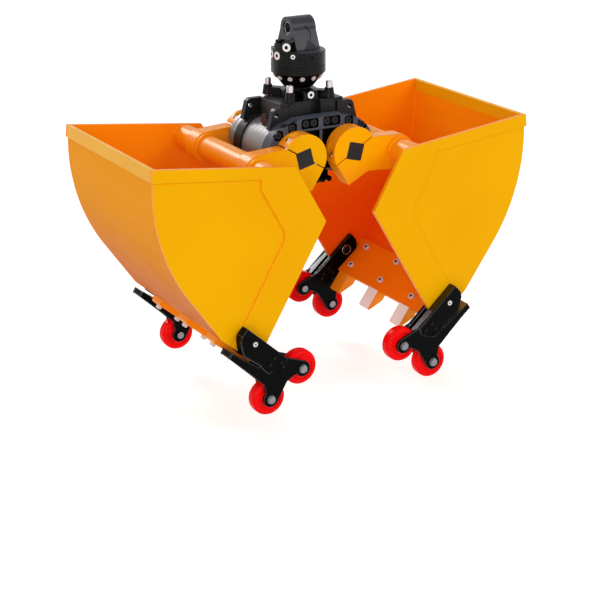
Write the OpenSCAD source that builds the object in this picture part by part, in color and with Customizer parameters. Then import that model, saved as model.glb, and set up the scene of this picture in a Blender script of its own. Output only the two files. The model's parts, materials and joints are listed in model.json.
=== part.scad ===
/* [Shells] */
// Width of one shell over the raised borders of its side plates
shell_w = 700; // [600:5:800]
// How far each shell is swung open, from the closed grab
open_angle = 30.8; // [26:0.2:36]
// Thickness of a side plate
side_t = 10; // [8:1:14]
// How far the border stands proud of the side plate
border_t = 6; // [3:1:8]
// Thickness of the curved back plate
back_t = 8; // [6:1:12]
// Thickness of the cutting plate at the bottom
cut_t = 16; // [12:1:20]
// Depth of the tip below the shaft, closed
tip_drop = 690; // [670:5:710]
// Depth of the mouth's inner corner below the shaft, closed
corner_drop = 156; // [150:1:164]
// Gap from the closed mouth edge to the middle of the grab
mouth_gap = 1; // [0.5:0.5:3]
// Radius of the curved back
back_r = 652; // [645:1:660]
// Height of the rim bar
rim_h = 44; // [36:1:50]
// Thickness of the rim bar
rim_t = 14; // [10:1:18]
/* [Torque tubes and arms] */
// Outer diameter of a torque tube
torque_d = 89; // [80:1:95]
// Wall of a torque tube
torque_wall = 8; // [6:1:12]
// Distance from a shaft to its torque tube
torque_reach = 180; // [176:1:190]
// Angle at which a torque tube lies below its shaft at rest, in degrees
torque_drop = 6.4; // [4:0.2:10]
// Thickness of an arm and of its cap
arm_t = 60; // [50:1:64]
// Outer radius of an arm's hub
hub_r = 85; // [83:1:90]
// Width over the outer faces of the arms
arm_span = 436; // [430:1:460]
// Radius of the collar round the torque tube
collar_r = 57; // [52:1:62]
/* [Rotary drive] */
// Distance between the two shafts
shaft_gap = 200; // [198:1:208]
// Width across the flats of a shaft's square end
square_w = 60; // [56:1:62]
// Radius that rounds the corners of the square
square_corner_r = 40.5; // [40:0.1:41]
// Radius of a shaft's journal
journal_r = 42; // [42:0.5:44]
// Running clearance on a radius
run_clear = 0.05; // [0.03:0.01:0.08]
// Wall of a shaft bush
bush_wall = 7; // [5:1:9]
// Outer radius of a drive tube
tube_r = 96; // [92:1:97]
// Wall of a drive tube
tube_wall = 16; // [12:1:20]
// Radius of the front end plate round each shaft
plate_r = 111; // [108:1:113]
// Height of the flat top of the front end plate above the shafts
plate_top = 121; // [118:1:126]
/* [Suspension] */
// Height of the suspension yoke's top above the shafts
yoke_h = 165; // [160:1:175]
// Radius of the pin bore in the lug's bush
lug_bore_r = 17.5; // [15:0.5:19]
// Outer radius of the lug's bush
lug_bush_r = 21; // [20:0.5:23]
// Radius of the lug's round eye
lug_eye_r = 43; // [38:1:44]
// Thickness of the lug along its bore
lug_t = 92; // [84:1:96]
// Outer radius of the rotator's housing
rotator_r = 95; // [92:1:97]
// Height of the rotator's housing
rotator_h = 68; // [64:1:72]
// Radius of the rotator's neck
neck_r = 45; // [42:1:48]
// Distance from the middle to a flange stud, along each side
stud_xy = 78; // [74:1:80]
/* [Rollers] */
// Radius of a wheel
wheel_r = 62; // [56:1:64]
// Width of a wheel
wheel_w = 44; // [40:1:45]
// Radius of an axle
axle_r = 8; // [7:0.5:10]
// Thickness of a cheek plate
cheek_t = 10; // [8:1:10]
// Space between the two cheeks of a roller frame
cheek_gap = 48; // [48:1:50]
/* [Teeth] */
// Width of a tooth
tooth_w = 64; // [56:1:70]
// How far the teeth stand out past the cutting plate
tooth_out = 76; // [66:1:80]
/* [Hidden] */
$fn = 96;
// Small overshoot so that a cut passes through a face
cut = 1;
// Gap left between solids that don't touch
air = 0.3;
shell_yellow = "#f2a900";
shell_orange = "#e8830c";
black_paint = "#1d1d20";
silver = "#b9bcc0";
steel = "#8d9095";
wheel_red = "#e01818";

// Points of one shell seen from the front, closed, from its shaft
half_gap = shaft_gap / 2;
mouth_x = mouth_gap - half_gap;
back_centre = [-21, 13];
back_end_angle = -66;
straight_l = 200;
rim_angle = -27.6;
rim_lean = 24.4;
function polar(c, r, a) = [c[0] + r * cos(a), c[1] + r * sin(a)];
rim_foot = polar(back_centre, back_r + border_t, rim_angle);
rim_top = polar(rim_foot, rim_h, 90 - rim_lean);
upper_end = [106, -40];
mouth_corner = [mouth_x, -corner_drop];
tip = [mouth_x, -tip_drop];
back_end = polar(back_centre, back_r, back_end_angle);
heel = polar(back_end, straight_l, back_end_angle - 90);
// The side plates follow the arc; the back plate is bent to it in a few straight folds
side_steps = 24;
back_folds = 6;
function arc(r, steps) = [for (i = [0:steps])
    polar(back_centre, r, rim_angle + (back_end_angle - rim_angle) * i / steps)];
cut_dir = (heel - tip) / norm(heel - tip);
cut_normal = [-cut_dir[1], cut_dir[0]];
cut_angle = atan2(cut_dir[1], cut_dir[0]);
// Places across the shell
side_in = shell_w / 2 - border_t - side_t;
side_out = shell_w / 2 - border_t;
arm_out = arm_span / 2;
arm_in = arm_out - arm_t;
tooth_pitch = shell_w * 0.3;
// Places along the drive unit, inside the arms
plate_out = arm_in - 3;
tube_front = plate_out - 50;
tube_rear = plate_out - 18;
torque_c = polar([0, 0], torque_reach, -open_angle - torque_drop);
// Roller frames, in the shell's own closed frame
roller_y = shell_w / 2;
inner_axle = [-258.8, -641.8];
outer_axle = [-195.5, -780.4];
cheek_in = cheek_gap / 2;
cheek_out = cheek_in + cheek_t;
// Suspension heights, from the lug's bore
housing_top = -77;
housing_bottom = housing_top - rotator_h;
cover_bottom = housing_bottom - 58;
flange_top = cover_bottom - 4;
flange_t = 33;
yoke_top = flange_top - flange_t;
// Height of the lug's bore above the shafts
hub_drop = yoke_h - yoke_top;
drum_r = neck_r + 16;
drum_h = 40;
slew_t = 8;

// Turns an outline in x and z into a solid from y0 to y1
module slab(y0, y1) {
    translate([0, y1, 0]) rotate([90, 0, 0]) linear_extrude(y1 - y0) children();
}

// A round bar along y from y0 to y1
module bar(r, y0, y1) {
    translate([0, y1, 0]) rotate([90, 0, 0]) cylinder(r = r, h = y1 - y0);
}

// Puts a shell's closed shape at its shaft and swings it open
module at_shell(side) {
    if (side > 0)
        translate([half_gap, 0, -hub_drop]) rotate([0, -open_angle, 0]) children();
    else
        mirror([1, 0, 0]) translate([half_gap, 0, -hub_drop]) rotate([0, -open_angle, 0])
            children();
}

// Repeats a piece at the front and at the back of the grab
module both_ends() {
    children();
    mirror([0, 1, 0]) children();
}

module one_end(end) {
    if (end < 0) children();
    else mirror([0, 1, 0]) children();
}

// Hexagon socket screw with its head's seat at the origin, pointing up
module socket_screw(shank_r, shank_l, head_r, head_h) {
    difference() {
        union() {
            cylinder(r = head_r, h = head_h, $fn = 32);
            translate([0, 0, -shank_l]) cylinder(r = shank_r, h = shank_l + cut / 2, $fn = 32);
        }
        translate([0, 0, head_h * 0.4]) cylinder(r = head_r * 0.55, h = head_h, $fn = 6);
    }
}

// Hexagon bolt with its head's seat at the origin, pointing up
module hex_bolt(shank_r, shank_l, head_r, head_h) union() {
    cylinder(r = head_r, h = head_h, $fn = 6);
    cylinder(r = head_r + 1, h = head_h * 0.25, $fn = 48);
    translate([0, 0, -shank_l]) cylinder(r = shank_r, h = shank_l + cut / 2, $fn = 32);
}

// ROTATOR
// Ports as angle round the rotator, height from the bore and radius
ports = [[-145, housing_top + 21, 14.5], [-170, housing_top - 12, 14],
    [-131, housing_top - 10, 8], [167, housing_top - 12, 13.5]];
small_holes = [-119, -90];
port_depth = 14;
fitting_angle = -172;
fitting_x = 74;
block_r = rotator_r - 1;
block_top = housing_top + 30;
port_block_top = housing_top + 38;
lower_block_top = housing_top + 10;
// The lug's round eye, its splayed foot and the groove forged into its front flank
lug_eye_z = -5;
foot_y = rotator_r - 26;
foot_z = housing_top + 14;
flank_lean = atan2(foot_y - lug_eye_r, lug_eye_z - foot_z);
scoop_r = 42;
scoop_x = 10;
groove_r = 29.5;
groove_x = -8;
groove_z = -18.5;
groove_y = -lug_eye_r - (lug_eye_z - groove_z) * tan(flank_lean);

module lug_outline() union() {
    translate([0, lug_eye_z]) circle(r = lug_eye_r);
    polygon([[-lug_eye_r, lug_eye_z], [lug_eye_r, lug_eye_z], [foot_y, foot_z],
        [foot_y, housing_top + cut], [-foot_y, housing_top + cut], [-foot_y, foot_z]]);
}

// Raised part of the housing's rim that carries the ports
module port_block(angle, inner_x, half_w, top) intersection() {
    translate([0, 0, housing_top - 20]) cylinder(r = block_r, h = top - housing_top + 20);
    rotate([0, 0, angle]) translate([inner_x, -half_w, housing_top - 20])
        cube([block_r, 2 * half_w, top - housing_top + 20]);
}

module flank_groove() translate([groove_x, groove_y, groove_z])
    rotate([90 - flank_lean, 0, 0]) difference() {
        translate([0, 0, -3]) cylinder(r = groove_r, h = 10);
        translate([-3.5, 0, -4]) cylinder(r = groove_r - 1, h = 12);
        translate([6 - 2 * groove_r, -2 * groove_r, -4])
            cube([2 * groove_r, 4 * groove_r, 12]);
    }

module rotator_housing() color(black_paint) difference() {
    groove_w = 3;
    dome_h = 5;
    union() {
        translate([0, 0, housing_bottom]) cylinder(r = rotator_r, h = rotator_h - 3);
        translate([0, 0, housing_top - 3])
            cylinder(r1 = rotator_r, r2 = rotator_r - 3, h = 3);
        translate([0, 0, housing_top - cut])
            cylinder(r1 = rotator_r - 10, r2 = rotator_r - 14, h = dome_h + cut);
        translate([-lug_t / 2, 0, 0]) rotate([90, 0, 90]) linear_extrude(lug_t)
            lug_outline();
        port_block(-160, 34, 34, block_top);
        port_block(-146, 34, 17, port_block_top);
        port_block(-131, 34, 14, housing_top + 7);
        port_block(165, 50, 30, lower_block_top);
    }
    translate([-lug_t, 0, 0]) rotate([0, 90, 0]) cylinder(r = lug_bush_r, h = 2 * lug_t);
    for (s = [-1, 1])
        translate([s * (lug_t / 2 - 4), 0, 0]) rotate([0, s * 90, 0])
            cylinder(r1 = lug_bush_r, r2 = lug_bush_r + 5, h = 5);
    both_ends() translate([scoop_x, -rotator_r - 9, housing_top + dome_h])
        cylinder(r = scoop_r, h = lug_t);
    flank_groove();
    translate([0, 0, housing_bottom - cut])
        cylinder(r = drum_r + slew_t, h = drum_h + 4 + cut);
    for (z = [8, 18])
        translate([0, 0, housing_bottom + z]) difference() {
            cylinder(r = rotator_r + cut, h = groove_w);
            translate([0, 0, -cut]) cylinder(r = rotator_r - 2, h = groove_w + 2 * cut);
        }
    for (p = ports)
        rotate([0, 0, p[0]]) translate([block_r - port_depth, 0, p[1]])
            rotate([0, 90, 0]) cylinder(r = p[2] + run_clear, h = 2 * port_depth);
    for (a = small_holes)
        rotate([0, 0, a]) translate([rotator_r - 8, 0, housing_top - 17])
            rotate([0, 90, 0]) cylinder(r = 4, h = 12);
    rotate([0, 0, fitting_angle]) translate([fitting_x, 0, block_top - 16])
        cylinder(r = 9 + run_clear, h = lug_t);
}

module lug_bush() color(steel) difference() {
    translate([-lug_t / 2 + 4, 0, 0]) rotate([0, 90, 0])
        cylinder(r = lug_bush_r, h = lug_t - 8);
    translate([-lug_t, 0, 0]) rotate([0, 90, 0]) cylinder(r = lug_bore_r, h = 2 * lug_t);
}

cover_bolt_count = 12;
cover_bolt_angle = 10;
cover_bolt_place = [rotator_r - 14, 0, housing_bottom - 21];
cover_tilt = 130;

module cover_bolt_spots()
    for (i = [0:cover_bolt_count - 1])
        rotate([0, 0, cover_bolt_angle + i * 360 / cover_bolt_count])
            translate(cover_bolt_place)
            rotate([0, cover_tilt, 0]) children();

module rotator_cover() color(black_paint) difference() {
    union() {
        translate([0, 0, housing_bottom - 8]) cylinder(r = rotator_r, h = 8);
        translate([0, 0, cover_bottom])
            cylinder(r1 = neck_r + 7, r2 = rotator_r - 3, h = housing_bottom - 8 - cover_bottom);
    }
    translate([0, 0, cover_bottom - cut])
        cylinder(r = neck_r + run_clear, h = housing_bottom - cover_bottom + 2 * cut);
    cover_bolt_spots() union() {
        translate([0, 0, -0.6]) cylinder(r = 9.5, h = 24, $fn = 32);
        translate([0, 0, -14]) cylinder(r = 4.5 + run_clear, h = 14, $fn = 32);
    }
}

module cover_bolts() color(silver) cover_bolt_spots()
    translate([0, 0, -0.6]) socket_screw(4.5, 12, 8.5, 5);

module port_plugs() color("#e9e9e6") for (p = ports)
    rotate([0, 0, p[0]]) translate([block_r - port_depth, 0, p[1]]) rotate([0, 90, 0])
        difference() {
            cylinder(r = p[2], h = port_depth + 2);
            translate([0, 0, port_depth / 2]) cylinder(r = p[2] * 0.42, h = port_depth);
        }

module hose_fitting() color(black_paint)
    rotate([0, 0, fitting_angle]) translate([fitting_x, 0, block_top]) union() {
        translate([0, 0, -16]) cylinder(r = 9, h = 18);
        translate([-12, -17, air]) cube([24, 24, 10]);
    }

module slew_ring() color(steel) difference() {
    translate([0, 0, housing_bottom]) cylinder(r = drum_r + slew_t, h = drum_h);
    translate([0, 0, housing_bottom - cut]) cylinder(r = drum_r + run_clear, h = drum_h + 2 * cut);
}

// DRIVE UNIT
module rotor_flange() color(black_paint) difference() {
    union() {
        translate([0, 0, housing_bottom + air]) cylinder(r = drum_r, h = drum_h - air);
        translate([0, 0, yoke_top])
            cylinder(r = neck_r, h = housing_bottom + air - yoke_top + cut);
        translate([0, 0, yoke_top]) cylinder(r = neck_r + 18, h = flange_t - 6);
        for (a = [45:90:315])
            rotate([0, 0, a]) union() {
                translate([0, -flange_arm_w / 2, yoke_top])
                    cube([stud_xy * sqrt(2), flange_arm_w, flange_t - 6]);
                translate([stud_xy * sqrt(2), 0, yoke_top])
                    cylinder(r1 = boss_r, r2 = boss_r - 5, h = flange_t + 2);
            }
        translate([-flange_port_w / 2, -flange_port_y, yoke_top])
            cube([flange_port_w, flange_port_y, flange_t - 2]);
    }
    for (x = [-stud_xy, stud_xy], y = [-stud_xy, stud_xy])
        translate([x, y, yoke_top - cut])
            cylinder(r = stud_r + air, h = flange_t + 5 * cut);
    translate([0, plug_seat_y, plug_z]) rotate([90, 0, 0])
        cylinder(r = plug_r + run_clear, h = port_depth + 5);
}

flange_arm_w = 34;
boss_r = 20;
stud_r = 12;
stud_top = flange_top + 26;
flange_port_w = 58;
flange_port_y = 86;
plug_r = 12.5;
plug_z = yoke_top + 18;
plug_seat_y = port_depth - flange_port_y;

module flange_studs() color(silver)
    for (x = [-stud_xy, stud_xy], y = [-stud_xy, stud_xy])
        translate([x, y, yoke_top - 30]) union() {
            cylinder(r = stud_r, h = stud_top - yoke_top + 28);
            translate([0, 0, stud_top - yoke_top + 27])
                cylinder(r1 = stud_r, r2 = stud_r - 3, h = 3);
        }

module flange_plug() color("#e9e9e6") translate([0, plug_seat_y, plug_z]) rotate([90, 0, 0])
    difference() {
        cylinder(r = plug_r, h = port_depth + 2);
        translate([0, 0, port_depth / 2]) cylinder(r = plug_r * 0.42, h = port_depth);
    }

yoke_w = 250;
yoke_front = plate_out - 57;
yoke_rear = plate_out - 112;
ear_x = yoke_w / 2 + 21;
ear_z = yoke_h - 34;
ear_y = plate_out - 62;
ear_t = 24;
ear_hole_r = 8;
ear_corner_r = 20;

module ear_outline() difference() {
    union() {
        polygon([[yoke_w / 2 - 30, 84], [ear_x + 30, 84], [ear_x + 14, ear_z + 14],
            [ear_x - 6, ear_z + 24], [yoke_w / 2 - 30, ear_z + 24]]);
        translate([ear_x - 4, ear_z + 4]) circle(r = ear_corner_r);
    }
    translate([ear_x, ear_z]) circle(r = ear_hole_r);
}

module ears(y0, y1) both_sides() slab(y0, y1) ear_outline();

module both_sides() {
    children();
    mirror([1, 0, 0]) children();
}

module tube_cuts(r, y0, y1) both_sides() translate([half_gap, 0, 0]) bar(r, y0, y1);

// Round plug that closes the yoke's left side
side_plug_r = 22;
side_plug_x = yoke_w / 2 + 42;
front_block_x = [32, 92];

module suspension_yoke() color(black_paint) translate([0, 0, -hub_drop]) difference() {
    union() {
        translate([-yoke_w / 2, -yoke_front + 6, 60])
            cube([yoke_w, yoke_front - 6 + yoke_rear, yoke_h - 60]);
        both_sides() translate([front_block_x[0], -yoke_front, 60])
            cube([front_block_x[1] - front_block_x[0], 7, yoke_h - 64]);
        translate([-yoke_w / 2 + 16, yoke_rear - cut, 60])
            cube([yoke_w - 32, saddle_y0 - 3 - yoke_rear + cut, yoke_h - 60]);
        translate([-40, -yoke_front, -20]) cube([80, 2 * yoke_front, 90]);
        ears(-ear_y - ear_t / 2, -ear_y + ear_t / 2);
        translate([-side_plug_x, -ear_y + 41, yoke_h - 57]) rotate([0, 90, 0])
            cylinder(r = side_plug_r, h = 60);
    }
    translate([-6, -yoke_front - cut, plate_top - 10]) cube([38, 26, yoke_h]);
    tube_cuts(tube_r, -shell_w, shell_w);
    slab(saddle_y0 - air, saddle_y1 + air) saddle_outline(air);
    for (x = [-stud_xy, stud_xy], y = [-stud_xy, stud_xy])
        translate([x, y, yoke_h - 30]) cylinder(r = stud_r, h = 40);
}

saddle_y0 = plate_out - 97;
saddle_y1 = plate_out - 49;
saddle_r = tube_r + 7;

module saddle_outline(grow) difference() {
    union() {
        for (s = [-1, 1]) translate([s * half_gap, 0]) circle(r = saddle_r + grow);
        translate([-half_gap, 40]) square([shaft_gap, 72 + grow]);
    }
    translate([-shaft_gap, -2 * saddle_r]) square([2 * shaft_gap, 2 * saddle_r - 24 - grow]);
}

module rear_saddle() color(black_paint) translate([0, 0, -hub_drop]) difference() {
    union() {
        slab(saddle_y0, saddle_y1) saddle_outline(0);
        ears(ear_y - ear_t / 2, ear_y + ear_t / 2);
    }
    tube_cuts(tube_r, -shell_w, shell_w);
}

module drive_tube(side) color(silver)
    translate([side * half_gap, 0, -hub_drop]) difference() {
        bar(tube_r, -tube_front, tube_rear);
        bar(tube_r - tube_wall, -tube_front - cut, tube_rear + cut);
    }

module drive_tube_left() drive_tube(-1);
module drive_tube_right() drive_tube(1);

// End plate: wide round the upper half of each shaft, narrow under it
module end_plate(y0, y1, r, top) difference() {
    union() {
        both_sides() translate([half_gap, 0, 0]) union() {
            bar(under_r, y0, y1);
            difference() {
                bar(r, y0, y1);
                translate([-shell_w, -shell_w, -shell_w]) cube([2 * shell_w, 2 * shell_w, shell_w]);
            }
        }
        slab(y0, y1) polygon([[-half_gap - 20, r - 4], [-half_gap + 12, top],
            [half_gap - 12, top], [half_gap + 20, r - 4], [half_gap + 4, -under_r + 16],
            [-half_gap - 4, -under_r + 16]]);
    }
    both_sides() translate([half_gap, 0, 0])
        bar(journal_r + bush_wall, y0 - cut, y1 + cut);
}

under_r = 84;
// Places of the front end plate's bolts, in x and z from the middle of the shafts
front_bolts = [[26.5, 102], [58, 102], [112, 94], [166, 74]];
bolt_ring_r = 74;
rear_bolt_angles = [50, 90, 130, 230, 270, 310];
pocket_d = 12;
pocket_half = 16.5;
band_low = 76;
recess_d = 14;
rib_w = 13;

module front_bolt_spots(y_face) both_sides() for (p = front_bolts)
    translate([p[0], y_face, p[1]]) rotate([90, 0, 0]) children();

module rear_bolt_spots(y_face) both_sides() for (a = rear_bolt_angles)
    translate([half_gap + bolt_ring_r * cos(a), y_face, bolt_ring_r * sin(a)])
        rotate([-90, 0, 0]) children();

// Rounded pocket round one bolt or a pair of them
module pocket(x0, x1, z, half_h) slab(-plate_out - cut, -plate_out + pocket_d) union() {
    corner = 8;
    translate([x0, z - half_h + corner]) square([x1 - x0, 2 * (half_h - corner)]);
    translate([x0 + corner, z - half_h]) square([x1 - x0 - 2 * corner, 2 * half_h]);
    for (x = [x0 + corner, x1 - corner], z = [z - half_h + corner, z + half_h - corner])
        translate([x, z]) circle(r = corner);
}

module front_end_plate() color("#33363f") translate([0, 0, -hub_drop]) difference() {
    end_plate(-plate_out, -tube_front, plate_r, plate_top);
    both_sides() union() {
        pocket(rib_w - 3, 77, front_bolts[0][1], pocket_half);
        for (p = [front_bolts[2], front_bolts[3]])
            pocket(p[0] - pocket_half, p[0] + pocket_half, p[1], pocket_half);
    }
    slab(-plate_out - cut, -plate_out + recess_d) difference() {
        translate([-half_gap, -plate_r + 30]) square([shaft_gap, band_low + plate_r - 30]);
        translate([-rib_w / 2, -plate_r]) square([rib_w, 2 * plate_r]);
        for (s = [-1, 1]) translate([s * half_gap, 0]) circle(r = journal_r + 22);
    }
    front_bolt_spots(-plate_out) translate([0, 0, -plate_out]) cylinder(r = 6, h = plate_out, $fn = 32);
}

module rear_end_plate() color(silver) translate([0, 0, -hub_drop]) difference() {
    end_plate(tube_rear, plate_out, tube_r + 1, tube_r - 6);
    rear_bolt_spots(plate_out)
        translate([0, 0, -plate_out]) cylinder(r = 6, h = 2 * plate_out, $fn = 32);
}

module end_plate_bolts() color("#55585f") translate([0, 0, -hub_drop]) {
    front_bolt_spots(-plate_out + pocket_d) socket_screw(6, 36, 12, 9);
    rear_bolt_spots(plate_out) socket_screw(6, plate_out - tube_rear, 8, 2.5);
}

valve_low = -124;
valve_end = plate_out - 57;

module valve_block() color(black_paint) translate([0, 0, -hub_drop]) difference() {
    union() {
        translate([-62, -valve_end, valve_low]) cube([124, 2 * valve_end, -valve_low - 50]);
        for (x = [-44, -15, 15, 44], y = [-75:30:75])
            translate([x, y, valve_low - 10]) cylinder(r = 10, h = 16, $fn = 32);
        for (x = [-50:25:50])
            translate([x, 0, valve_low + 13]) bar(10, -valve_end - 30, 0);
    }
    tube_cuts(tube_r, -shell_w, shell_w);
    slab(-plate_out - cut, -tube_front + air) translate([-shaft_gap, -under_r - 5])
        square([2 * shaft_gap, shaft_gap]);
}

module shaft_bushes() color("#c9a25a") translate([0, 0, -hub_drop]) both_sides()
    translate([half_gap, 0, 0]) difference() {
        union() {
            bar(journal_r + bush_wall, -plate_out, -tube_front);
            bar(journal_r + bush_wall, tube_rear, plate_out);
        }
        bar(journal_r + run_clear, -shell_w, shell_w);
    }

// SHELLS
module square_outline(grow) intersection() {
    rotate(45) square(square_w + 2 * grow, center = true);
    circle(r = square_corner_r + grow);
}

module shaft(side) color("#3a3a3d") at_shell(side) union() {
    slab(-arm_out, arm_out) square_outline(0);
    bar(journal_r, -plate_out, plate_out);
    bar(tube_r - tube_wall - 2, -tube_front + 12, tube_rear - 12);
}

// Arm below the split, closed: a nose at the mouth and a leg to the torque tube
module arm_outline() {
    nose_x = 1 + mouth_x + 8;
    difference() {
        union() {
            circle(r = hub_r);
            polygon([[-hub_r, 0], [nose_x + 8, -87], [6, -92], [84, -146],
                polar(torque_c, collar_r, -121), torque_c, polar(torque_c, collar_r, 59),
                [hub_r, 0]]);
            translate(torque_c) circle(r = collar_r);
        }
        translate([-2 * hub_r, 1]) square([4 * hub_r, 2 * hub_r]);
        square_outline(run_clear);
        translate(torque_c) circle(r = torque_d / 2);
    }
}

cap_bolt_x = 65;
cap_seat = 24;

module cap_bolt_spots() for (s = [-1, 1])
    translate([s * cap_bolt_x, -arm_out + arm_t / 2, cap_seat]) children();

module arm(side, end) color(shell_yellow) at_shell(side) one_end(end) difference() {
    union() {
        slab(-arm_out, -arm_in) arm_outline();
        translate([torque_c[0], 0, torque_c[1]]) difference() {
            bar(collar_r - 4, -arm_out - 12, -arm_in + 12);
            bar(torque_d / 2, -shell_w, shell_w);
        }
    }
    cap_bolt_spots() translate([0, 0, -62]) cylinder(r = 8, h = 62, $fn = 32);
}

// Gap that the cap's screws pull against, so that the cap grips the shaft
clamp_gap = 3.5;

module cap_half() difference() {
    slab(-arm_out, -arm_in) difference() {
        intersection() {
            circle(r = hub_r);
            translate([-hub_r, 1 + clamp_gap]) square([2 * hub_r, hub_r]);
        }
        square_outline(run_clear);
    }
    cap_bolt_spots() union() {
        translate([0, 0, -40]) cylinder(r = 8.3, h = 41, $fn = 32);
        cylinder(r = 17, h = hub_r, $fn = 48);
    }
}

module hub_caps(side) color(shell_yellow) at_shell(side) both_ends() cap_half();

module cap_bolts(side) color(silver) at_shell(side) both_ends()
    cap_bolt_spots() socket_screw(8, 60, 13, 14);

// Closed at both ends, with a drain hole in its underside
drain_r = 5;

module torque_tube(side) color(shell_orange) at_shell(side)
    translate([torque_c[0], 0, torque_c[1]]) difference() {
        bar(torque_d / 2, -side_in, side_in);
        bar(torque_d / 2 - torque_wall, torque_wall - side_in, side_in - torque_wall);
        translate([0, 0, -torque_d]) cylinder(r = drain_r, h = torque_d, $fn = 32);
    }

module side_outline() polygon(concat([mouth_corner, upper_end, rim_top, rim_foot],
    arc(back_r, side_steps), [heel, tip]));

// Field inside the raised border: the border runs along the rim and down the mouth
border_mouth_w = 114;
field_top = [204, -128];
field_bend = [188, -157];
field_knee = [38, -244];
field_low = [18, -270];

module field_outline() polygon([field_top, rim_foot, rim_foot + [60, -20],
    [2 * field_top[0] + back_r, -2 * tip_drop], [mouth_x + border_mouth_w, -2 * tip_drop],
    [mouth_x + border_mouth_w, -tip_drop + 90], field_low, field_knee, field_bend]);

module side_plate(side, end) color(shell_yellow) at_shell(side) one_end(end) difference() {
    union() {
        slab(-side_out, -side_in) side_outline();
        slab(-shell_w / 2, -side_out) difference() {
            side_outline();
            field_outline();
        }
    }
    translate([pin_hole[0], 0, pin_hole[1]]) bar(pin_r + run_clear, -shell_w, 0);
}

module cutting_outline() polygon([heel, tip, tip + cut_t * cut_normal, heel + cut_t * cut_normal]);

module back_outline() difference() {
    inner = arc(back_r - back_t, back_folds);
    heel_in = heel + back_t * [-cos(back_end_angle), -sin(back_end_angle)];
    polygon(concat(arc(back_r, back_folds),
        [heel, heel_in], [for (i = [back_folds:-1:0]) inner[i]]));
    cutting_outline();
}

module back_plate(side) color(shell_orange) at_shell(side)
    slab(-side_in, side_in) back_outline();

module rim_bar(side) color(shell_yellow) at_shell(side) slab(-side_in, side_in)
    difference() {
        across = rim_t * [-cos(rim_lean), sin(rim_lean)];
        polygon([rim_top, rim_foot, rim_foot + across, rim_top + across]);
        back_outline();
    }

// Slot that the roller frames take in the cutting plate's ends
module frame_slot() slab(roller_y - cheek_out - air, roller_y + cheek_out + air)
    translate([-2 * tip_drop + cheek_end + air, -2 * tip_drop]) square(2 * tip_drop);

module cutting_plate(side) color(shell_orange) at_shell(side) difference() {
    slab(-side_in, side_in) cutting_outline();
    both_ends() frame_slot();
    tooth_spots(side) tooth_holes(cut_t + cut);
}

// Moves to each tooth: x runs up the cutting plate from its tip, z points into the shell
module tooth_spots(side) translate([tip[0], 0, tip[1]]) rotate([0, -cut_angle, 0])
    for (i = [-1:1]) translate([0, side * (tooth_pitch / 4 + i * tooth_pitch), 0]) children();

tooth_bolt_x = [41, 133];
tooth_back = 156;
tooth_t = 22;

module tooth_holes(h) for (x = tooth_bolt_x)
    translate([x, 0, -tooth_t - cut]) cylinder(r = 7.2, h = h + tooth_t + cut, $fn = 32);

module tooth() difference() {
    translate([0, tooth_w / 2, 0]) rotate([90, 0, 0]) linear_extrude(tooth_w)
        polygon([[-tooth_out, -10], [-tooth_out, 0], [-air, cut_t + 4], [-air, -air],
            [tooth_back, -air], [tooth_back, -tooth_t + 6], [tooth_back - 6, -tooth_t],
            [6, -tooth_t], [-8, -tooth_t - 4], [-18, -tooth_t - 4]]);
    tooth_holes(cut_t);
}

module teeth(side) color(shell_orange) at_shell(side) tooth_spots(side) tooth();

module tooth_bolts(side) color(silver) at_shell(side) tooth_spots(side)
    for (x = tooth_bolt_x) {
        translate([x, 0, cut_t]) socket_screw(7, cut_t + tooth_t + 12, 12, 10);
        translate([x, 0, -tooth_t - 10]) difference() {
            cylinder(r = 12, h = 10, $fn = 6);
            translate([0, 0, -cut]) cylinder(r = 7, h = 12, $fn = 32);
        }
    }

// ROLLER FRAMES
cheek_end = 29;
pin_hole = [-32.5, -626.7];
pin_r = 9;
frame_screws = [[-129, -645], [-162, -650], [-126, -671], [-176, -661], [-139, -694]];
wheel_air = 3;
lobe_r = 28;
cover_t = 4;
arm_slot = [[-94, -689], [-94, -695], [-22, -691], [cheek_end, -685]];
arm_low = [[cheek_end + 1, -707], [-20, -716], [-80, -729], [-146, -745], [-168, -772]];
upper_edge = [[-178, -628], [19, -590], [26, -622], [20, -642], [-12, -681]];

module frame_holes() {
    for (c = [inner_axle, outer_axle]) translate(c) circle(r = axle_r + run_clear);
    translate(pin_hole) circle(r = pin_r + run_clear);
    for (c = frame_screws) translate(c) circle(r = 4 + run_clear);
}

// Cheek plate: an upper plate over the shell's corner, a lower arm and two wheel lobes
module cheek_outline() difference() {
    union() {
        polygon(concat(upper_edge, arm_slot, arm_low, [outer_axle, [-223, -778], [-222, -702],
            [-241, -669], inner_axle, [-254, -614]]));
        for (c = [inner_axle, outer_axle]) translate(c) circle(r = lobe_r);
    }
    frame_holes();
}

// Cover that stands proud of the outer cheek's upper part
module cover_outline() difference() {
    polygon(concat([for (i = [0:3]) upper_edge[i]], [[-17, -678], [-90, -686], [-110, -695],
        [-141, -702], [-183, -656]]));
    frame_holes();
}

// Blocks between the cheeks that grip the shell's lower corner and join the lower arm
module block_outline() difference() {
    polygon(concat(upper_edge, arm_slot, [[cheek_end, -705], [-20, -714], [-80, -727],
        [-146, -743], [-200, -690], [-200, -632]]));
    for (c = [inner_axle, outer_axle]) translate(c) circle(r = wheel_r + wheel_air);
    frame_holes();
}

module roller_frame(side, end) color(black_paint) at_shell(side) one_end(end)
    translate([0, -roller_y, 0]) difference() {
        union() {
            slab(-cheek_out, -cheek_in) cheek_outline();
            slab(cheek_in, cheek_out) cheek_outline();
            slab(-cheek_out - cover_t, -cheek_out + cut) cover_outline();
            slab(-cheek_in - air, cheek_in + air) block_outline();
        }
        slab(0, border_t + side_t) union() {
            side_outline();
            polygon([[mouth_x + cut, -540], [-220, -540], [-220, -668], [mouth_x + cut, -668]]);
        }
        slab(border_t, roller_y) cutting_outline();
    }

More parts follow.
